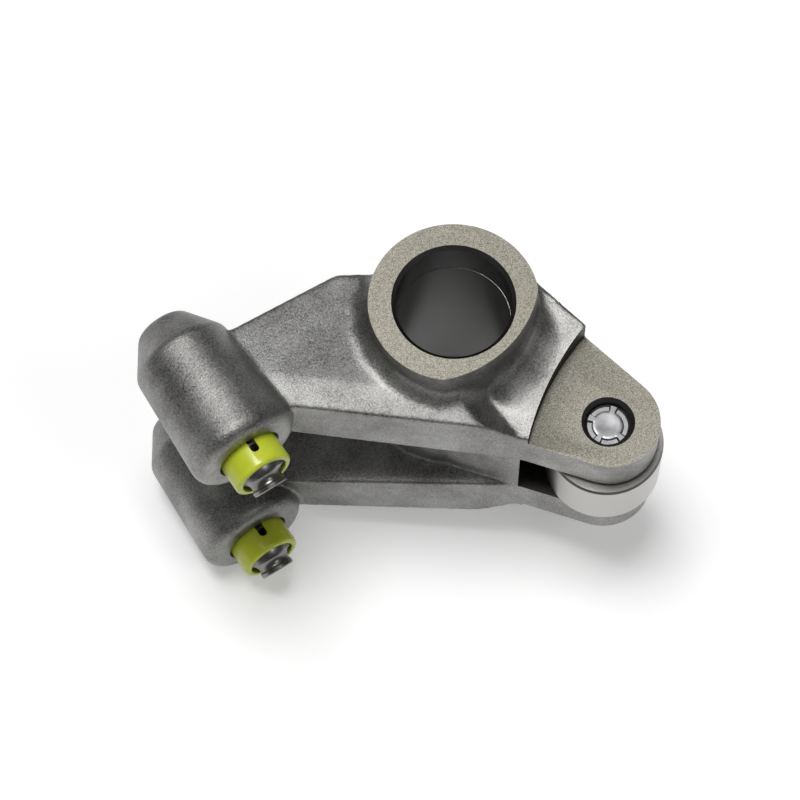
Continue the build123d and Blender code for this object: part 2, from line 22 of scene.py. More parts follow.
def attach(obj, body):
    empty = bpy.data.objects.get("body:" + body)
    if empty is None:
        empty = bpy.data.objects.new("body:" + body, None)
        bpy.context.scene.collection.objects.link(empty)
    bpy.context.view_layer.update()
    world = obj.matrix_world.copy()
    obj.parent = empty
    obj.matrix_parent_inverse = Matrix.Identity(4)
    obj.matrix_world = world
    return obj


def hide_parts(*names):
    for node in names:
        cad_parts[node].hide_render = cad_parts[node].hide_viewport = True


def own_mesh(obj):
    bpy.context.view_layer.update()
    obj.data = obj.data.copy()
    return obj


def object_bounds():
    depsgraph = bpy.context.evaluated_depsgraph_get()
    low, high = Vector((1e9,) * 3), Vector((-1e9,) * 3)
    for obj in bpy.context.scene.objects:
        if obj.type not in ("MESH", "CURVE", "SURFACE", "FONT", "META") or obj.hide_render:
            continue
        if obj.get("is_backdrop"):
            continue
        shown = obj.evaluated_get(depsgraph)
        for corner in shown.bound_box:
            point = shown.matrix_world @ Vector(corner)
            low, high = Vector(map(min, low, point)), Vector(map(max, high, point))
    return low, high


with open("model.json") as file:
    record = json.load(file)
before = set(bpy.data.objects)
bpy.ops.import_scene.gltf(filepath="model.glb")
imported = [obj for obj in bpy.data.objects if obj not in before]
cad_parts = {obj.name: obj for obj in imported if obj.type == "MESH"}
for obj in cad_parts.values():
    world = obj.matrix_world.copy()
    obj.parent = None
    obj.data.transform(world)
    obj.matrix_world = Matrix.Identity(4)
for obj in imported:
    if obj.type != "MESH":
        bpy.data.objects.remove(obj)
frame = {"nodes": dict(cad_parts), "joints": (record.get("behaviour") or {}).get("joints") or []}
cad_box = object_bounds()
MM = 0.001
joint = {j["name"]: j for j in frame["joints"]}
pin = Vector(joint["roller_spin"]["pos_m"])
PIN = (pin.x / MM, pin.y / MM)
ADJUSTER = Vector(joint["near_foot_tilt"]["pos_m"]) / MM
print("CAD box in mm", [[round(v / MM, 1) for v in corner] for corner in cad_box])
print("roller pin at", [round(v, 1) for v in PIN])
print("near adjuster's ball at", [round(v, 1) for v in ADJUSTER])

# %% [markdown]
# The camera stands where the photograph was taken: about 63 cm away, to the left and in front
# of the part, and looking down at three quarters of a right angle. A long lens keeps the far
# barrel almost as large as the near one. A camera can be aimed with a Track To constraint, but
# that leaves its roll to Blender. Here the picture's right and its top are given as directions,
# which fixes the roll too.

# %% The camera
CAMERA_PLACE = Vector((-148.000, -206.965, 579.477)) * MM
CAMERA_RIGHT = Vector((0.835594, -0.549346, 0.001464))
CAMERA_UP = Vector((0.504564, 0.768526, 0.393423))
LENS, SENSOR = 160.26, 36
CLIP_END = 10


def add_camera():
    """A camera from its place and the directions of the picture's right and top."""
    data = bpy.data.cameras.new("photo_camera")
    data.lens = LENS
    data.sensor_width = SENSOR
    data.clip_end = CLIP_END
    camera = bpy.data.objects.new("photo_camera", data)
    right = CAMERA_RIGHT.normalized()
    back = right.cross(CAMERA_UP).normalized()
    up = back.cross(right)
    aim = Matrix((right, up, back)).transposed().to_4x4()
    camera.matrix_world = Matrix.Translation(CAMERA_PLACE) @ aim
    bpy.context.scene.collection.objects.link(camera)
    bpy.context.scene.camera = camera
    return camera


camera = add_camera()
print("camera is", round(camera.location.length, 3), "m from the bore")

# %% [markdown]
# Steel shows its finish through how it scatters light, so each finish below is a node tree of
# its own. Nodes could be laid out by hand in the shader editor. In a script, two small helpers
# start a material and add a node with its settings, so that each finish says only what is its
# own.

# %% A start for every material


def new_material(name):
    """A node material: returns it with its node tree and its shader."""
    material = bpy.data.materials.new(name)
    material.use_nodes = True
    tree = material.node_tree
    return material, tree, tree.nodes["Principled BSDF"]


def add_node(tree, kind, **settings):
    """A node with its settings, where a name with no such setting fills an input socket."""
    node = tree.nodes.new(kind)
    for key, value in settings.items():
        if hasattr(node, key):
            setattr(node, key, value)
        else:
            node.inputs[key.replace("_", " ")].default_value = value
    return node


# %% [markdown]
# All grain on this part comes from noise. Its scale sets the size of the grain, and a different
# scale along each axis turns spots into lines. A picture of steel would need to be wrapped
# round every face. Noise fills space like the metal itself, so a cut face simply shows another
# slice of it. It is read in object coordinates, which keep it still on the part when the part
# moves.

# %% Grain, and what can be made of it


def noise(tree, scale, detail=4.0, roughness=0.6, squeeze=(1, 1, 1)):
    """Noise that sits still on the part, with its scale in spots per metre."""
    place = add_node(tree, "ShaderNodeTexCoord")
    pattern = add_node(tree, "ShaderNodeTexNoise", Scale=scale, Detail=detail, Roughness=roughness)
    mapping = add_node(tree, "ShaderNodeMapping")
    mapping.inputs["Scale"].default_value = squeeze
    tree.links.new(place.outputs["Object"], mapping.inputs["Vector"])
    tree.links.new(mapping.outputs["Vector"], pattern.inputs["Vector"])
    return pattern.outputs["Fac"]


def mix(tree, first, second, share):
    """A blend of two greys, with this share of the second."""
    node = add_node(tree, "ShaderNodeMix")
    node.inputs["Factor"].default_value = share
    tree.links.new(first, node.inputs["A"])
    tree.links.new(second, node.inputs["B"])
    return node.outputs["Result"]


def ramp(tree, source, stops):
    """A colour ramp from (position, colour) stops."""
    node = add_node(tree, "ShaderNodeValToRGB")
    for extra in range(len(stops) - 2):
        node.color_ramp.elements.new(0.5)
    for element, (position, colour) in zip(node.color_ramp.elements, stops):
        element.position = position
        element.color = (*colour, 1)
    tree.links.new(source, node.inputs["Fac"])
    return node.outputs["Color"]


def spread(tree, source, low, high, start=0.3, end=0.7):
    """The source, stretched from start..end to low..high."""
    node = add_node(tree, "ShaderNodeMapRange")
    node.inputs["From Min"].default_value = start
    node.inputs["From Max"].default_value = end
    node.inputs["To Min"].default_value = low
    node.inputs["To Max"].default_value = high
    tree.links.new(source, node.inputs["Value"])
    return node.outputs["Result"]


def bump(tree, shader, source, height):
    """Surface grain with its height in metres."""
    node = add_node(tree, "ShaderNodeBump", Strength=1.0, Distance=height)
    tree.links.new(source, node.inputs["Height"])
    tree.links.new(node.outputs["Normal"], shader.inputs["Normal"])


def cover(tree, shader, shade, grain, rough, height):
    """Give the shader its colour, and let one grain drive its roughness and its bump."""
    tree.links.new(shade, shader.inputs["Base Color"])
    tree.links.new(spread(tree, grain, *rough), shader.inputs["Roughness"])
    bump(tree, shader, grain, height)


# %% [markdown]
# The skin of the forging is blasted with shot after it leaves the dies, so it is dark and dull
# with fine pits, and the scale of the furnace leaves slow stains. Two noises make it, one for
# the stains and one for the pits. A bump alone would look like dented plastic. Here the pits
# also drive colour and roughness, because on steel a dark pit is a dull and deep one.

# %% The skin of the forging
STAIN_SCALE, PIT_SCALE, PIT_SHARE = 110, 2800, 0.6
PIT_HEIGHT, SKIN_ROUGH = 0.00007, (0.33, 0.49)
SKIN_DARK, SKIN_LIGHT = (0.10, 0.098, 0.094), (0.40, 0.396, 0.384)


def forged_skin():
    """Shot-blasted forging: dark grey with a fine pebbled grain and slow stains."""
    material, tree, shader = new_material("forged_skin")
    stain = noise(tree, STAIN_SCALE, detail=5)
    pits = noise(tree, PIT_SCALE, detail=4, roughness=0.75)
    mixed = mix(tree, stain, pits, PIT_SHARE)
    shade = ramp(tree, mixed, [(0.38, SKIN_DARK), (0.62, SKIN_LIGHT)])
    cover(tree, shader, shade, pits, SKIN_ROUGH, PIT_HEIGHT)
    shader.inputs["Metallic"].default_value = 0.9
    return material


skin = forged_skin()
print("skin:", len(skin.node_tree.nodes), "nodes")

# %% [markdown]
# A milled face is brighter than the skin, and speckled where the tool cut through the grain of
# the forging. Rings of tool marks would be the usual way to show milling, but this one is so
# fine that the speckle is all that shows. So it is one fine noise between two colours. The
# walls inside the slot and round the milled faces get the same speckle painted much darker,
# a painted shade for walls that lie in shade.

# %% Milled faces
SPECK_SCALE, SPECK_HEIGHT, SPECK_ROUGH = 5200, 0.00001, (0.42, 0.54)


def machined_face(name, dark, light):
    """Face-milled steel, speckled where the grain of the forging was cut through."""
    material, tree, shader = new_material(name)
    speck = noise(tree, SPECK_SCALE, detail=3, roughness=0.8)
    shade = ramp(tree, speck, [(0.40, dark), (0.60, light)])
    cover(tree, shader, shade, speck, SPECK_ROUGH, SPECK_HEIGHT)
    shader.inputs["Metallic"].default_value = 0.85
    return material


milled = machined_face("milled_face", (0.13, 0.122, 0.098), (0.40, 0.383, 0.325))
# Painted shade: the milled speckle, much darker, for walls that lie in shade.
painted_wall_shade = machined_face("painted_shade_wall", (0.05, 0.048, 0.043), (0.10, 0.096, 0.088))
print("milled finishes:", milled.name, painted_wall_shade.name)

# %% [markdown]
# Rollers, pins and bores are ground, which leaves fine lines along the way the wheel ran. The
# shader's Anisotropic value would stretch the gloss and draw no lines. Noise that changes only
# along Z does draw them, as rings round the roller and the bore. Pieces that are polished all
# over keep the plain noise, and only their shade and gloss differ.

# %% Ground steel
STREAK_SCALE, STREAK_HEIGHT = 900, 0.000001
STREAK_DARK, STREAK_ROUGH = 0.8, 0.08
ROUND_Z = (0, 0, 4)


def ground_steel(name, shade, roughness, lay=(1, 1, 1)):
    """Ground steel: fine streaks whose run is set by how fast the noise changes each way."""
    material, tree, shader = new_material(name)
    streak = noise(tree, STREAK_SCALE, detail=2, squeeze=lay)
    low = tuple(STREAK_DARK * v for v in shade)
    tone = ramp(tree, streak, [(0.35, low), (0.65, shade)])
    cover(tree, shader, tone, streak, (roughness, roughness + STREAK_ROUGH), STREAK_HEIGHT)
    shader.inputs["Metallic"].default_value = 1.0
    return material


# The bores' steel is painted far darker than the other ground steel: painted shade inside the
# bores.
shaded_bore_steel = ground_steel("bore_steel_painted_shade", (0.15, 0.149, 0.146), 0.3, ROUND_Z)
roller_steel = ground_steel("roller_steel", (0.50, 0.49, 0.47), 0.27, ROUND_Z)
pin_steel = ground_steel("pin_steel", (0.30, 0.30, 0.305), 0.34)
inner_steel = ground_steel("inner_steel", (0.4, 0.4, 0.39), 0.25)
spring_wire = ground_steel("spring_wire", (0.3, 0.3, 0.3), 0.3)
foot_steel = ground_steel("foot_steel", (0.24, 0.235, 0.23), 0.27)
print("ground finishes:", shaded_bore_steel.name, roller_steel.name, pin_steel.name, foot_steel.name)

# %% [markdown]
# The caps are moulded from nylon, which is glossy and lets a little light in. Paint would look
# flat beside it. So the shader scatters some light under the surface, red and green farther
# than blue, and that keeps the yellow warm where the cap turns away from the lamp.

# %% Plastic of the caps
CLOUD_SCALE, CLOUD_HEIGHT, CLOUD_ROUGH = 260, 0.00001, (0.2, 0.3)
CAP_DARK, CAP_LIGHT = (0.54, 0.62, 0.03), (0.62, 0.70, 0.05)
GLOW_SHARE, GLOW_DEPTH = 0.15, (0.0012, 0.001, 0.0003)


def cap_plastic():
    """Glossy moulded nylon, yellow with a green cast."""
    material, tree, shader = new_material("cap_plastic")
    cloud = noise(tree, CLOUD_SCALE, detail=3)
    shade = ramp(tree, cloud, [(0.3, CAP_DARK), (0.7, CAP_LIGHT)])
    cover(tree, shader, shade, cloud, CLOUD_ROUGH, CLOUD_HEIGHT)
    shader.inputs["Subsurface Weight"].default_value = GLOW_SHARE
    shader.inputs["Subsurface Radius"].default_value = GLOW_DEPTH
    shader.inputs["Subsurface Scale"].default_value = 1.0
    return material


plastic = cap_plastic()
print("finishes:", sorted(m.name for m in bpy.data.materials if m.use_nodes))

# %% [markdown]
# The real body is made in two steps, and so is this one. First it is forged: hot steel is
# pressed between dies, which leaves soft corners, slanted walls and a rough skin. Then only
# the faces that must be true are cut: the ring and bore of the boss, the fork's cheeks, the
# roller's slot and the bores of the adjusters.
#
# All of it needs plain solids, as stock to add and as cutters to take away. They could be
# primitives that are scaled into place. An outline in millimetres says more: pulled up it is a
# prism, and turned about an axis it is a round piece.

# %% Solids from outlines


def finish_mesh(name, bm, material):
    """A bmesh becomes an object with one material."""
    bmesh.ops.recalc_face_normals(bm, faces=bm.faces)
    mesh = bpy.data.meshes.new(name)
    bm.to_mesh(mesh)
    bm.free()
    mesh.materials.append(material)
    return bpy.data.objects.new(name, mesh)


def prism(bm, outline, low, high):
    """An outline in X and Y pulled from one height to another; a height may be a function."""
    rings = []
    for height in (low, high):
        ring = [(x, y, height(x, y) if callable(height) else height) for x, y in outline]
        rings.append([bm.verts.new(Vector(p) * MM) for p in ring])
    bm.faces.new(rings[0])
    bm.faces.new(rings[1])
    for i in range(len(outline)):
        j = (i + 1) % len(outline)
        bm.faces.new((rings[0][i], rings[0][j], rings[1][j], rings[1][i]))


def turn(bm, profile, place=(0, 0, 0), segments=128, along_y=False, ring=False):
    """A closed solid turned from (radius, height) points, about Z or Y; a ring has a hole."""
    rings = []
    for radius, height in profile:
        points = []
        for k in range(segments if radius else 1):
            angle = 2 * math.pi * k / segments
            across, beside = radius * math.cos(angle), radius * math.sin(angle)
            point = (across, height, beside) if along_y else (across, beside, height)
            points.append(bm.verts.new((Vector(point) + Vector(place)) * MM))
        rings.append(points)
    for lower, upper in zip(rings, rings[1:] + rings[:1] * ring):
        for k in range(segments):
            n = (k + 1) % segments
            corners = [lower[k % len(lower)], lower[n % len(lower)],
                       upper[n % len(upper)], upper[k % len(upper)]]
            bm.faces.new(list(dict.fromkeys(corners)))


def arc(centre, radius, start, end, steps):
    """Points along an arc in a plane, from one angle to another in degrees."""
    angles = [math.radians(start + (end - start) * k / steps) for k in range(steps + 1)]
    return [(centre[0] + radius * math.cos(a), centre[1] + radius * math.sin(a)) for a in angles]


def ease(value, start, end):
    """Zero before start, one after end, and smooth between them."""
    share = min(max((value - start) / (end - start), 0), 1)
    return share * share * (3 - 2 * share)


# %% [markdown]
# Seen from above, the boss is a ring whose side towards the roller is flattened by a wider arc.
# Both outlines and solids need its edge, so one function says how far the boss reaches at any
# angle: to the circle or to the wide arc, whichever is nearer.

# %% The outline of the boss
HALF_BOSS = 28.0
BOSS_RADIUS, BOSS_STEPS = 14.69, 128
FLAT_CENTRE, FLAT_RADIUS = (-1.8, 7.7), 20.4


def boss_reach(angle):
    """How far the boss reaches at an angle: a circle, flattened towards the roller."""
    along = FLAT_CENTRE[0] * math.cos(angle) + FLAT_CENTRE[1] * math.sin(angle)
    apart = FLAT_CENTRE[0] ** 2 + FLAT_CENTRE[1] ** 2
    return min(BOSS_RADIUS, along + math.sqrt(FLAT_RADIUS ** 2 - apart + along ** 2))


def boss_outline():
    """The boss's outline as points."""
    angles = [2 * math.pi * k / BOSS_STEPS for k in range(BOSS_STEPS)]
    return [(boss_reach(a) * math.cos(a), boss_reach(a) * math.sin(a)) for a in angles]


reaches = [math.dist(point, (0, 0)) for point in boss_outline()]
print("boss reaches from", round(min(reaches), 2), "to", round(max(reaches), 2), "mm")

# %% [markdown]
# The fork is forged with a slanted upper face, and a wide hollow fillet leads from it up to the
# boss. The fillet runs out at the fork's upper edge and towards the arm. A Bevel modifier can't
# make one that changes its width on the way, so the fillet is built as rows of points. Each row
# is a quarter of a circle that is stretched to the width and height it has at that angle.

# %% The fork and its fillet
CAST_HEIGHT, CAST_RISE_X, CAST_RISE_Y = 17.5, 0.148, 0.089
FORK_TOP, FORK_CORNER = -0.8, 16.3
FORK_EDGE, FORK_EDGE_SLANT = 16.2, 0.67
EAR_CENTRE, EAR_RADIUS = (PIN[0] + 0.45, PIN[1]), 8.7
EAR_START, EAR_END = 13, -141.7
KNEE = (-0.95, -23.6)
FILLET_START, FILLET_END, FILLET_STEPS = -106, -7, 34
FADE_IN, FADE_OUT = 22, 38
FILLET_WIDE, FILLET_LEAST, FILLET_TALL = 6.6, 0.05, 5.4
FILLET_SHARES = [-0.4] + [0.1 * n for n in range(11)]
FILLET_BASE = 8


def cast_face(x, y):
    """Height of the forged face over the fork, before its cheeks are milled."""
    return CAST_HEIGHT + CAST_RISE_X * x + CAST_RISE_Y * y


def fork_outline():
    """The fork from its upper edge, round the ear and back to the knee."""
    ear = arc(EAR_CENTRE, EAR_RADIUS, EAR_START, EAR_END, steps=32)
    return [(0, FORK_TOP), (FORK_CORNER, FORK_TOP)] + ear + [KNEE]


def fillet_row(degrees):
    """The fillet's points at one angle, from inside the boss to where it meets the fork."""
    angle = math.radians(degrees)
    fade = ease(degrees, FILLET_START, FILLET_START + FADE_IN)
    fade *= 1 - ease(degrees, FILLET_END - FADE_OUT, FILLET_END)
    wide, tall = FILLET_WIDE * fade + FILLET_LEAST, FILLET_TALL * fade
    row = []
    for share in FILLET_SHARES:
        reach = boss_reach(angle) + wide * share
        x, y = reach * math.cos(angle), reach * math.sin(angle)
        x = min(x, FORK_EDGE - FORK_EDGE_SLANT * (y - FORK_TOP))
        left = min(1, 1 - share)
        row.append((x, y, cast_face(x, y) + tall * (1 - math.sqrt(1 - left * left))))
    return row


def fork_fillet(bm):
    """The fillet as a closed solid on each side of the fork."""
    sweep = FILLET_END - FILLET_START
    rows = [fillet_row(FILLET_START + sweep * k / FILLET_STEPS) for k in range(FILLET_STEPS + 1)]
    last = len(FILLET_SHARES) - 1
    for side in (-1, 1):
        tops = [[bm.verts.new(Vector((x, y, side * z)) * MM) for x, y, z in row] for row in rows]
        base = side * FILLET_BASE
        feet = [[bm.verts.new(Vector((x, y, base)) * MM) for x, y, z in row] for row in rows]
        for a, b, c, d in zip(tops, tops[1:], feet, feet[1:]):
            for n in range(last):
                bm.faces.new((a[n], a[n + 1], b[n + 1], b[n]))
                bm.faces.new((c[n], c[n + 1], d[n + 1], d[n]))
            for n in (0, last):
                bm.faces.new((a[n], b[n], d[n], c[n]))
        for top, foot in ((tops[0], feet[0]), (tops[-1], feet[-1])):
            for n in range(last):
                bm.faces.new((top[n], top[n + 1], foot[n + 1], foot[n]))


print("forged face stands", round(cast_face(*PIN), 1), "mm above the middle at the pin")

# %% [markdown]
# The frame's solid has the right shape, but every edge of it is sharp. Bevels on so many edges
# that meet at odd angles soon break, and a forging has no two alike. So the solid's bores are
# filled again with stock, a voxel remesh fuses the lot into one skin, and smoothing rounds it
# off as the dies did. The mesh is then thinned, as most of its faces lie on flat ground.

# %% The forging
MOUTH_Y, BORE_DEPTH = -1.6, 21.5
FACE_STOCK, PLUG_RADIUS, PLUG_SPARE = 1, 6.2, 0.3
FORGING_VOXEL = 0.3 * MM
SOFTEN_FACTOR, SOFTEN_STEPS, KEEP_FACES = 0.5, 24, 0.3


def forging():
    """The body as it leaves the dies, with no machined face."""
    bm = bmesh.new()
    bm.from_mesh(frame["nodes"]["rocker_body"].data)
    bmesh.ops.recalc_face_normals(bm, faces=bm.faces)
    prism(bm, boss_outline(), -HALF_BOSS - FACE_STOCK, HALF_BOSS + FACE_STOCK)
    prism(bm, fork_outline(), lambda x, y: -cast_face(x, y), cast_face)
    fork_fillet(bm)
    plug_end = MOUTH_Y + BORE_DEPTH + PLUG_SPARE
    plug = [(0, MOUTH_Y), (PLUG_RADIUS, MOUTH_Y), (PLUG_RADIUS, plug_end), (0, plug_end)]
    for side in (-1, 1):
        turn(bm, plug, (ADJUSTER.x, 0, side * ADJUSTER.z), along_y=True)
    blank = finish_mesh("rocker_forging", bm, skin)
    bpy.context.scene.collection.objects.link(blank)
    remesh = blank.modifiers.new("fuse", "REMESH")
    remesh.mode = "VOXEL"
    remesh.voxel_size = FORGING_VOXEL
    soften = blank.modifiers.new("soften", "SMOOTH")
    soften.factor = SOFTEN_FACTOR
    soften.iterations = SOFTEN_STEPS
    thin = blank.modifiers.new("thin_out", "DECIMATE")
    thin.ratio = KEEP_FACES
    return blank


body = forging()
print("the forging's stages:", [m.name for m in body.modifiers])

# %% [markdown]
# Each cutter below is the solid that a real tool sweeps through the steel. The ring and the
# cheeks get a face mill, which leaves a curved wall where the cheek ends. The slot gets a side
# mill as round as the roller needs. A cutter can hold several solids, as long as they stay
# apart. Those that would overlap are cutters of their own, because the exact solver wants clean
# input. Every cutter reaches well past the face it cuts, since two faces in one plane are the
# hardest thing to ask of a Boolean.

# %% Mills
CHEEK = 13.9
PAST_FACE = 2
RING_MILL_RADIUS, RING_MILL_HEIGHT = 17, 4
CHEEK_ARC_CENTRE, CHEEK_ARC_RADIUS, CHEEK_MILL_TOP = (33.6, -60.6), 50.0, 30
CHEEK_CORNER, CHEEK_CORNER_HOLLOW = 0.5, 0.15
DRILL_RADIUS, DRILL_CHAMFER = 5.5, 0.4
SLOT_HALF, SLOT_ROUND, SLOT_ROUND_END = 6.2, 11.35, 100
SLOT_CORNER_CENTRE, SLOT_CORNER_RADIUS = (-10.4, 5.4), 4.2
SLOT_BACK, SLOT_BACK_TOP = -15.2, 2.5
SLOT_OPEN_X, SLOT_OPEN_Y = 45, -40


def face_mills(bm):
    """Ring faces, fork cheeks and adjuster bores."""
    ring_top = HALF_BOSS + RING_MILL_HEIGHT
    ring = [(0, HALF_BOSS), (RING_MILL_RADIUS, HALF_BOSS), (RING_MILL_RADIUS, ring_top),
            (0, ring_top)]
    rim = CHEEK_ARC_RADIUS
    cheek = [(0, CHEEK), (rim - CHEEK_CORNER, CHEEK),
             (rim - CHEEK_CORNER_HOLLOW, CHEEK + CHEEK_CORNER_HOLLOW),
             (rim, CHEEK + CHEEK_CORNER), (rim, CHEEK_MILL_TOP), (0, CHEEK_MILL_TOP)]
    mouth = DRILL_RADIUS + DRILL_CHAMFER
    drill = [(0, MOUTH_Y - PAST_FACE), (mouth, MOUTH_Y - PAST_FACE), (mouth, MOUTH_Y),
             (DRILL_RADIUS, MOUTH_Y + DRILL_CHAMFER), (DRILL_RADIUS, MOUTH_Y + BORE_DEPTH),
             (0, MOUTH_Y + BORE_DEPTH)]
    for side in (-1, 1):
        turn(bm, [(r, side * z) for r, z in ring], segments=64)
        turn(bm, [(r, side * z) for r, z in cheek], (*CHEEK_ARC_CENTRE, 0), segments=360)
        turn(bm, drill, (ADJUSTER.x, 0, side * ADJUSTER.z), segments=96, along_y=True)


def slot_mill(bm):
    """The roller's slot: round over the roller, open below it and beside it."""
    outline = [(SLOT_OPEN_X, 0)] + arc((0, 0), SLOT_ROUND, 0, SLOT_ROUND_END, steps=24)
    outline += arc(SLOT_CORNER_CENTRE, SLOT_CORNER_RADIUS, 125, 180, steps=6)
    outline += [(SLOT_BACK, SLOT_BACK_TOP), (SLOT_BACK, SLOT_OPEN_Y), (SLOT_OPEN_X, SLOT_OPEN_Y)]
    prism(bm, [(PIN[0] + x, PIN[1] + y) for x, y in outline], -SLOT_HALF, SLOT_HALF)


print("slot is", 2 * SLOT_HALF, "mm wide and the fork", 2 * CHEEK, "mm")

# %% [markdown]
# The shaft bore and the pin's hole go right through. Each is turned from a profile of its upper
# half and the mirror image of it. The bore has a chamfer at its mouth and a relief in the
# middle, and where the relief starts a groove a third of a millimetre deep goes round. The
# groove's floor gets a lighter steel than the bore, a painted highlight that draws the thin
# bright arc inside the bore.

# %% Bores that go through
BORE_RADIUS, BORE_CHAMFER = 10.0, 0.7
GROOVE_DEPTH, GROOVE_TOP, GROOVE_SHOULDER, GROOVE_FLOOR = 0.32, 20.7, 20.55, 20.42
GROOVE_FOOT = 0.05
RELIEF_START, RELIEF_DEPTH = 20.2, 0.5
PIN_RADIUS, COUNTERSINK = 4.0, 0.65


def through(bm, half, place, segments):
    """A turned solid from the profile of its upper half, from the top down."""
    top = half[0][1]
    down = [(radius, -height) for radius, height in reversed(half)]
    turn(bm, [(0, top)] + half + down + [(0, -top)], place, segments)


def shaft_bore(bm):
    """The bore, with chamfered mouths, a relieved middle and a fine groove at its border."""
    in_groove = BORE_RADIUS + GROOVE_DEPTH
    half = [(BORE_RADIUS + BORE_CHAMFER + PAST_FACE, HALF_BOSS + PAST_FACE),
            (BORE_RADIUS, HALF_BOSS - BORE_CHAMFER), (BORE_RADIUS, GROOVE_TOP),
            (in_groove, GROOVE_SHOULDER), (in_groove, GROOVE_FLOOR),
            (BORE_RADIUS, GROOVE_FLOOR - GROOVE_FOOT), (BORE_RADIUS, RELIEF_START),
            (BORE_RADIUS + RELIEF_DEPTH, RELIEF_START - RELIEF_DEPTH)]
    through(bm, half, (0, 0, 0), segments=160)


def pin_hole(bm):
    """The pin's hole, with a countersink on each cheek."""
    half = [(PIN_RADIUS + COUNTERSINK + PAST_FACE, CHEEK + PAST_FACE),
            (PIN_RADIUS, CHEEK - COUNTERSINK)]
    through(bm, half, (*PIN, 0), segments=96)


print("shaft bore is", 2 * BORE_RADIUS, "mm wide and the pin's hole", 2 * PIN_RADIUS, "mm")

# %% [markdown]
# A Boolean modifier takes each cutter away, and its transfer setting gives the new faces the
# cutter's own material. So the milled and ground faces get their finish at the moment they are
# cut, with no face picked by hand. A cutter may carry a second colour for some of its faces:
# painted shade on the walls round a milled face, or a painted highlight on the ledge in the bore.
#
# A Boolean leaves points that all but touch, and faces as thin as a hair between them. They
# don't show, but they make the mesh worse for whoever prints or measures it. So the result is
# welded and triangulated, and faces that lie back to back are dropped.

# %% From cutters to a clean mesh
WELD = 0.002 * MM
LEVEL = 0.9
GROOVE_NEAR = 0.04


def upright(face):
    """True on the walls round a flat face, which get the painted shade."""
    return abs(face.normal.z) < LEVEL


def painted_glint_ledge(face):
    """True on the narrow ledge in the shaft bore, which gets a lighter steel as a painted
    highlight.
    """
    off = abs(abs(face.center.z) / MM - GROOVE_FLOOR)
    return off < GROOVE_NEAR and abs(face.normal.z) > LEVEL


def cutter(name, material, build, other=None, where=upright):
    """A solid made by a function; some of its faces may carry a second colour of painted shade or
    light.
    """
    bm = bmesh.new()
    build(bm)
    tool = finish_mesh(name, bm, material)
    if other:
        tool.data.materials.append(other)
        for face in tool.data.polygons:
            face.material_index = int(where(face))
    return tool


def smooth_piece(piece, angle=32):
    """Smooth shading, apart from edges sharper than the angle in degrees."""
    piece.data.shade_smooth()
    piece.data.set_sharp_from_angle(angle=math.radians(angle))


def clean(mesh):
    """Weld points that all but touch, triangulate, and drop faces that lie back to back."""
    bm = bmesh.new()
    bm.from_mesh(mesh)
    bmesh.ops.remove_doubles(bm, verts=bm.verts, dist=WELD)
    bmesh.ops.triangulate(bm, faces=bm.faces)
    same = {}
    for face in bm.faces:
        same.setdefault(frozenset(v.index for v in face.verts), []).append(face)
    folded = [face for faces in same.values() if len(faces) > 1 for face in faces]
    bmesh.ops.delete(bm, geom=folded, context="FACES")
    bm.to_mesh(mesh)
    bm.free()


def bake_modifiers(piece):
    """Turn what the modifiers make into the piece's own clean mesh."""
    graph = bpy.context.evaluated_depsgraph_get()
    mesh = bpy.data.meshes.new_from_object(piece.evaluated_get(graph))
    piece.modifiers.clear()
    clean(mesh)
    piece.data = mesh


# %% [markdown]
# The order of the cuts is the order of the shop: faces first, then the slot, then the bores.
# The finished body rides on the frame's root body, which is the one that the shaft holds, and
# stands for the frame's solid in every picture.

# %% Machining


def machine(blank, cutters):
    """Take the cutters away and keep the result as a plain mesh."""
    for tool in cutters:
        bpy.context.scene.collection.objects.link(tool)
        cut = blank.modifiers.new(tool.name, "BOOLEAN")
        cut.operation = "DIFFERENCE"
        cut.solver = "EXACT"
        cut.material_mode = "TRANSFER"
        cut.object = tool
    bake_modifiers(blank)
    for tool in cutters:
        bpy.data.objects.remove(tool)
    smooth_piece(blank)


machine(body, [
    cutter("face_mills", milled, face_mills, painted_wall_shade),
    # The whole slot gets the painted shade of the walls.
    cutter("slot_mill", painted_wall_shade, slot_mill),
    # The groove's floor takes the roller's lighter steel: a painted highlight in the dark bore.
    cutter("bore_tool", shaded_bore_steel, shaft_bore, roller_steel, painted_glint_ledge),
    cutter("pin_drill", shaded_bore_steel, pin_hole),
])
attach(body, "root")
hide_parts("rocker_body")
print("body has", len(body.data.polygons), "faces and", len(body.data.materials), "finishes")

# %% [markdown]
# The yellow caps are moulded sleeves that snap onto the adjusters and hold the feet. A tube
# from the Add menu has no lip, so the wall's outline is turned as a ring instead. Its lower lip
# is rounded outside and reaches inwards under the foot's flange. Three slots let the cap spread
# as it snaps on. They are cut by a Boolean, as in the steel, and a narrow bevel then breaks
# every sharp edge, since no moulded edge is sharp.

# %% The cap's outline and its slots
CAP_OUTER, CAP_INNER, CAP_REACH, CAP_INSERT = 5.4, 4.6, 4.8, 2.0
CAP_EDGE = 0.15
LIP_INNER, LIP_ROUND, LIP_FLAT, LIP_THICK = 4.25, 0.6, 0.6, 0.75
SLOT_COUNT, SLOT_WIDTH, SLOT_REACH, SLOT_START = 3, 1.5, 2.2, 4.0
PUNCH_INSIDE, PUNCH_OUTSIDE = 1.5, 1


def cap_profile():
    """Wall of the cap from its inner top, down outside and round the lip."""
    wall = [(CAP_INNER, CAP_INSERT), (CAP_OUTER - CAP_EDGE, CAP_INSERT),
            (CAP_OUTER, CAP_INSERT - CAP_EDGE)]
    wall += arc((CAP_OUTER - LIP_ROUND, -CAP_REACH + LIP_ROUND), LIP_ROUND, 0, -90, steps=8)
    wall += arc((LIP_INNER + CAP_EDGE, -CAP_REACH + CAP_EDGE), CAP_EDGE, -90, -180, steps=3)
    wall += [(LIP_INNER, -CAP_REACH + LIP_FLAT), (CAP_INNER, -CAP_REACH + LIP_THICK)]
    return [(radius, MOUTH_Y + height) for radius, height in wall]


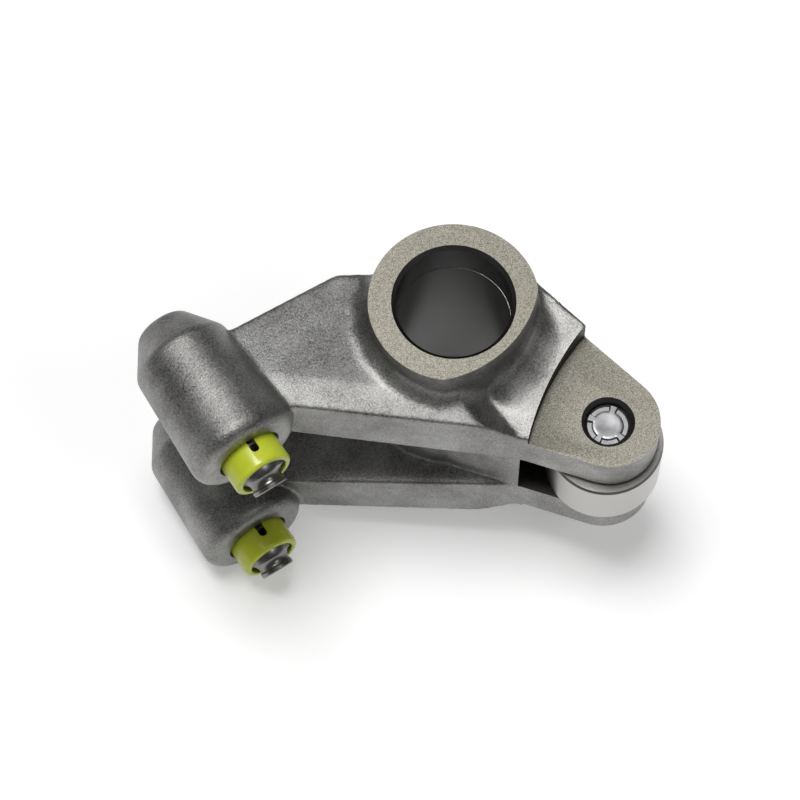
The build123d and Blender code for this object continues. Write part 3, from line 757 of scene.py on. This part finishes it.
def slot_punch(bm, place, angle):
    """Round-ended punch for one slot of a cap, aimed outwards at an angle about Y."""
    half, top = SLOT_WIDTH / 2, CAP_INSERT + PUNCH_OUTSIDE
    outline = [(half, top)] + arc((0, half - SLOT_REACH), half, 0, -180, steps=16)
    outline.append((-half, top))
    before = set(bm.verts)
    prism(bm, outline, CAP_INNER - PUNCH_INSIDE, CAP_OUTER + PUNCH_OUTSIDE)
    made = [v for v in bm.verts if v not in before]
    aim = Matrix.Rotation(math.radians(angle), 3, "Y")
    bmesh.ops.rotate(bm, verts=made, matrix=aim)
    bmesh.ops.translate(bm, verts=made, vec=(Vector(place) + Vector((0, MOUTH_Y, 0))) * MM)


print("cap's wall is", round(CAP_OUTER - CAP_INNER, 2), "mm thick")

# %% [markdown]
# Both caps are made by one function, which only asks for a side and a height. Each rides on the
# body of its own cap, so it turns on the adjuster and goes in and out with it.

# %% Caps
EDGE_BREAK, BREAK_ANGLE, CAP_SMOOTH_ANGLE = 0.09, 40, 50


def add_cap(side, z):
    """A slotted cap on one adjuster."""
    place = (ADJUSTER.x, 0, z)
    bm = bmesh.new()
    turn(bm, cap_profile(), place, segments=144, along_y=True, ring=True)
    cap = finish_mesh(f"{side}_yellow_cap", bm, plastic)
    bpy.context.scene.collection.objects.link(cap)

    def punches(bm):
        for k in range(SLOT_COUNT):
            slot_punch(bm, place, SLOT_START + 360 / SLOT_COUNT * k)

    tool = cutter("slot_punches", plastic, punches)
    bpy.context.scene.collection.objects.link(tool)
    cut = cap.modifiers.new("slots", "BOOLEAN")
    cut.operation, cut.solver, cut.object = "DIFFERENCE", "EXACT", tool
    soft = cap.modifiers.new("edges", "BEVEL")
    soft.width, soft.segments, soft.limit_method = EDGE_BREAK * MM, 2, "ANGLE"
    soft.angle_limit = math.radians(BREAK_ANGLE)
    bake_modifiers(cap)
    bpy.data.objects.remove(tool)
    smooth_piece(cap, CAP_SMOOTH_ANGLE)
    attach(cap, f"{side}_cap")
    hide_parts(f"{side}_retaining_cap")
    return cap


caps = [add_cap("near", ADJUSTER.z), add_cap("far", -ADJUSTER.z)]
print("cap faces:", [len(cap.data.polygons) for cap in caps])

# %% [markdown]
# A roller pin is locked by staking: a tool presses a ring into its end, and leaves four tabs
# that hold it in the hole. That could be a bump on a flat disc, but it would vanish at the
# disc's outline and in the exported mesh. So the end is a grid of rings and spokes. One function
# gives the height at each grid point, and the dished middle, the pressed ring and the tabs are
# real geometry that catches the light.

# %% Pin with staked ends
PIN_END, PIN_CHAMFER, PIN_SPOKES = 12.6, 0.4, 240
PIN_RINGS = [0.3 * k for k in range(1, 9)] + [2.5 + 0.1 * k for k in range(1, 16)]
DISH_RADIUS, DISH_DEPTH = 2.4, 0.08
PRESS_START, PRESS_FULL, PRESS_FADE, PRESS_END = 2.55, 2.8, 3.5, 3.7
PRESS_DEPTH = 0.45
TAB_ANGLES, TAB_HALF_ANGLE, TAB_FADE = (38, 123, 203, 280), 9.0, 4


def pin_end_height(radius, angle):
    """How far the pin's end lies below its highest plane."""
    dish = DISH_DEPTH * (1 - ease(radius, 0, DISH_RADIUS))
    pressed = ease(radius, PRESS_START, PRESS_FULL) * (1 - ease(radius, PRESS_FADE, PRESS_END))
    nearest = min(abs((angle - tab + 180) % 360 - 180) for tab in TAB_ANGLES)
    off_tab = ease(nearest, TAB_HALF_ANGLE, TAB_HALF_ANGLE + TAB_FADE)
    edge = max(0, radius - (PIN_RADIUS - PIN_CHAMFER))
    return dish + PRESS_DEPTH * pressed * off_tab + edge


def pin_end(bm, side):
    """One end of the pin as rings and spokes; returns the points of its outermost ring."""
    centre = bm.verts.new(Vector((*PIN, side * (PIN_END - pin_end_height(0, 0)))) * MM)
    rings = []
    for radius in PIN_RINGS:
        ring = []
        for k in range(PIN_SPOKES):
            degrees = 360 * k / PIN_SPOKES
            x = PIN[0] + radius * math.cos(math.radians(degrees))
            y = PIN[1] + radius * math.sin(math.radians(degrees))
            z = side * (PIN_END - pin_end_height(radius, degrees))
            ring.append(bm.verts.new(Vector((x, y, z)) * MM))
        rings.append(ring)
    for k in range(PIN_SPOKES):
        n = (k + 1) % PIN_SPOKES
        bm.faces.new((centre, rings[0][k], rings[0][n]))
        for inner, outer in zip(rings, rings[1:]):
            bm.faces.new((inner[k], outer[k], outer[n], inner[n]))
    return rings[-1]


def add_pin():
    """The pin, with both ends pressed to the same form."""
    bm = bmesh.new()
    upper, lower = pin_end(bm, 1), pin_end(bm, -1)
    for k in range(PIN_SPOKES):
        n = (k + 1) % PIN_SPOKES
        bm.faces.new((upper[k], lower[k], lower[n], upper[n]))
    staked = finish_mesh("staked_pin", bm, pin_steel)
    bpy.context.scene.collection.objects.link(staked)
    smooth_piece(staked)
    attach(staked, "root")
    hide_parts("roller_pin")
    return staked


staked_pin = add_pin()
print("pin faces:", len(staked_pin.data.polygons))

# %% [markdown]
# A swivel foot is one turned piece. A hollow ball seat with a flange stays inside the cap, a
# waist comes below it and a flat disc presses on the valve. It could be stacked from a sphere
# and two cylinders, but then it would have seams where they meet. Its whole form is one
# outline, so it is turned about its own axis and then tipped to the angle at which it hangs. The
# waist is what catches the dark and light bands that make polished steel look polished.

# %% Swivel feet
SEAT_RADIUS, SEAT_START, SEAT_RIM = 2.83, -82, 0.5
FLANGE_RADIUS, FLANGE_END = 4.48, 1.55
DISC_RADIUS, DISC_TOP, FOOT_END, FOOT_CHAMFER = 3.15, 3.62, 4.4, 0.2
FOOT_DROOP = 20.0
WAIST = [(3.85, 1.64), (3.45, 1.85), (3.16, 2.15), (2.98, 2.5), (2.9, 2.85), (2.91, 3.2),
         (3.0, 3.45), (3.12, 3.58)]


def foot_profile():
    """Outline of the foot below the ball's centre: seat, flange, waist and disc."""
    rim = math.degrees(math.asin(SEAT_RIM / SEAT_RADIUS))
    seat = [(0, -SEAT_RADIUS)] + arc((0, 0), SEAT_RADIUS, SEAT_START, rim, steps=14)
    top = math.degrees(math.asin(SEAT_RIM / FLANGE_RADIUS))
    end = math.degrees(math.asin(FLANGE_END / FLANGE_RADIUS))
    flange = arc((0, 0), FLANGE_RADIUS, top, -end, steps=8)
    disc = [(DISC_RADIUS, DISC_TOP), (DISC_RADIUS, FOOT_END - FOOT_CHAMFER),
            (DISC_RADIUS - FOOT_CHAMFER, FOOT_END), (0, FOOT_END)]
    return seat + flange + [(radius, -drop) for radius, drop in WAIST + disc]


def add_foot(side):
    """A swivel foot on the ball of one adjuster."""
    bm = bmesh.new()
    turn(bm, foot_profile(), segments=128, along_y=True)
    droop = Matrix.Rotation(math.radians(FOOT_DROOP), 3, "X")
    bmesh.ops.rotate(bm, verts=bm.verts, matrix=droop)
    bmesh.ops.translate(bm, verts=bm.verts, vec=Vector(joint[f"{side}_foot_tilt"]["pos_m"]))
    foot = finish_mesh(f"{side}_turned_foot", bm, foot_steel)
    bpy.context.scene.collection.objects.link(foot)
    smooth_piece(foot)
    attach(foot, f"{side}_foot")
    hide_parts(f"{side}_swivel_foot")
    return foot


feet = [add_foot("near"), add_foot("far")]
print("foot faces:", [len(foot.data.polygons) for foot in feet])

# %% [markdown]
# Two springs work inside each adjuster, one under the plunger and one under the check ball.
# They shorten when their joints move, and a stiff copy would cut through its neighbours. Each
# gets a mesh of its own with the wire's finish, and rides on its adjuster or on the root body.

# %% Springs


def add_spring(side, kind, body):
    """A spring's own mesh with the wire's finish, on the body that carries it."""
    name = f"{side}_{kind}"
    spring = bpy.data.objects.new(f"{name}_coil", frame["nodes"][name].data.copy())
    spring.data.materials.clear()
    spring.data.materials.append(spring_wire)
    bpy.context.scene.collection.objects.link(spring)
    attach(spring, f"{side}_{body}" if body != "root" else body)
    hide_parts(name)
    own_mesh(spring)


for side in ("near", "far"):
    add_spring(side, "plunger_spring", "adjuster")
    add_spring(side, "ball_spring", "root")

# %% [markdown]
# The other solids keep the shape that the frame gives them: the roller, its needles, and all
# that works inside the adjusters. They only need a finish. Materials are matched by the kind of
# piece, so near and far pieces share one. Whatever isn't listed is a ground inner part.

# %% Dress the solids
FINISH = {
    "rocker_body": skin,
    "roller": roller_steel,
    "needle_rollers": inner_steel,
    "retaining_clip": spring_wire,
}
for name, solid in frame["nodes"].items():
    kind = name.removeprefix("near_").removeprefix("far_")
    solid.data.materials.clear()
    solid.data.materials.append(FINISH.get(kind, inner_steel))
print("dressed", len(frame["nodes"]), "solids")

# %% [markdown]
# The part lies on a white table that has no visible end. The background should be white, but
# the part shouldn't be lit more for it. So the floor glows a little, only for rays that come
# from the camera, a reflection or glass. The rays that light the part don't see that glow, and
# its shadow stays on the floor.

# %% The floor
FLOOR_HEIGHT, FLOOR_SIZE = cad_box[0][2], 8
FLOOR_GREY, FLOOR_WHITE = (0.88, 0.88, 0.88), (0.91, 0.91, 0.91)
FLOOR_CLOUDS, FLOOR_ROUGHNESS, FLOOR_LIFT = 3, 0.9, 0.30


def seen_by_eye_or_gloss(tree):
    """One for rays that come from the camera, a reflection or glass, and zero for the rest."""
    path = add_node(tree, "ShaderNodeLightPath")
    total = path.outputs["Is Camera Ray"]
    for extra in ("Is Glossy Ray", "Is Transmission Ray"):
        node = add_node(tree, "ShaderNodeMath", operation="MAXIMUM")
        tree.links.new(total, node.inputs[0])
        tree.links.new(path.outputs[extra], node.inputs[1])
        total = node.outputs["Value"]
    return total


def add_floor():
    """A wide pale floor under the lowest barrel."""
    bpy.ops.mesh.primitive_plane_add(size=FLOOR_SIZE, location=(0, 0, FLOOR_HEIGHT))
    floor = bpy.context.object
    floor.name = "studio_floor"
    material, tree, shader = new_material("studio_floor")
    tone = ramp(tree, noise(tree, FLOOR_CLOUDS), [(0.3, FLOOR_GREY), (0.7, FLOOR_WHITE)])
    tree.links.new(tone, shader.inputs["Base Color"])
    shader.inputs["Roughness"].default_value = FLOOR_ROUGHNESS
    shader.inputs["Emission Color"].default_value = (1, 1, 1, 1)
    seen = seen_by_eye_or_gloss(tree)
    lift = add_node(tree, "ShaderNodeMath", operation="MULTIPLY")
    lift.inputs[1].default_value = FLOOR_LIFT
    tree.links.new(seen, lift.inputs[0])
    tree.links.new(lift.outputs["Value"], shader.inputs["Emission Strength"])
    floor.data.materials.append(material)
    floor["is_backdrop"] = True
    return floor


floor = add_floor()
print("floor lies at", round(floor.location.z / MM, 1), "mm")

# %% [markdown]
# The light is that of a plain studio: one large lamp overhead, which shades the far barrel with
# the near one, and a weak one in front that fills the shadows. Large lamps make soft edges, and
# each faces the part. The air adds a little light from all sides.

# %% Light
LAMPS = {
    "key_light": {"place": (-0.10, 0.22, 1.5), "size": 0.6, "power": 16},
    "front_light": {"place": (0.45, -1.05, 1.55), "size": 0.5, "power": 3.5},
}
AIR_COLOUR, AIR_STRENGTH = (1, 1, 1, 1), 0.12


def add_softbox(name, place, size, power):
    """A square lamp that faces the part; its place and size are in metres."""
    data = bpy.data.lights.new(name, "AREA")
    data.size = size
    data.energy = power
    lamp = bpy.data.objects.new(name, data)
    lamp.location = place
    lamp.rotation_euler = Vector(place).to_track_quat("Z", "Y").to_euler()
    bpy.context.scene.collection.objects.link(lamp)


for name, lamp in LAMPS.items():
    add_softbox(name, **lamp)
world = bpy.data.worlds.new("studio_air")
world.use_nodes = True
world.node_tree.nodes["Background"].inputs["Color"].default_value = AIR_COLOUR
world.node_tree.nodes["Background"].inputs["Strength"].default_value = AIR_STRENGTH
bpy.context.scene.world = world
bpy.context.scene.view_settings.view_transform = "Standard"
print("lamps:", list(LAMPS))

# %% [markdown]
# The last step compares two boxes: that of the bare solids, and that of the dressed part. They
# have to agree, because the finished piece must fit where the solid did.

# %% Sizes of both boxes, and the end
visual_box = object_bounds()
gaps = [abs(a - b) for cad, seen in zip(cad_box, visual_box) for a, b in zip(cad, seen)]
print("the boxes differ by", round(max(gaps) / MM, 3), "mm at most")
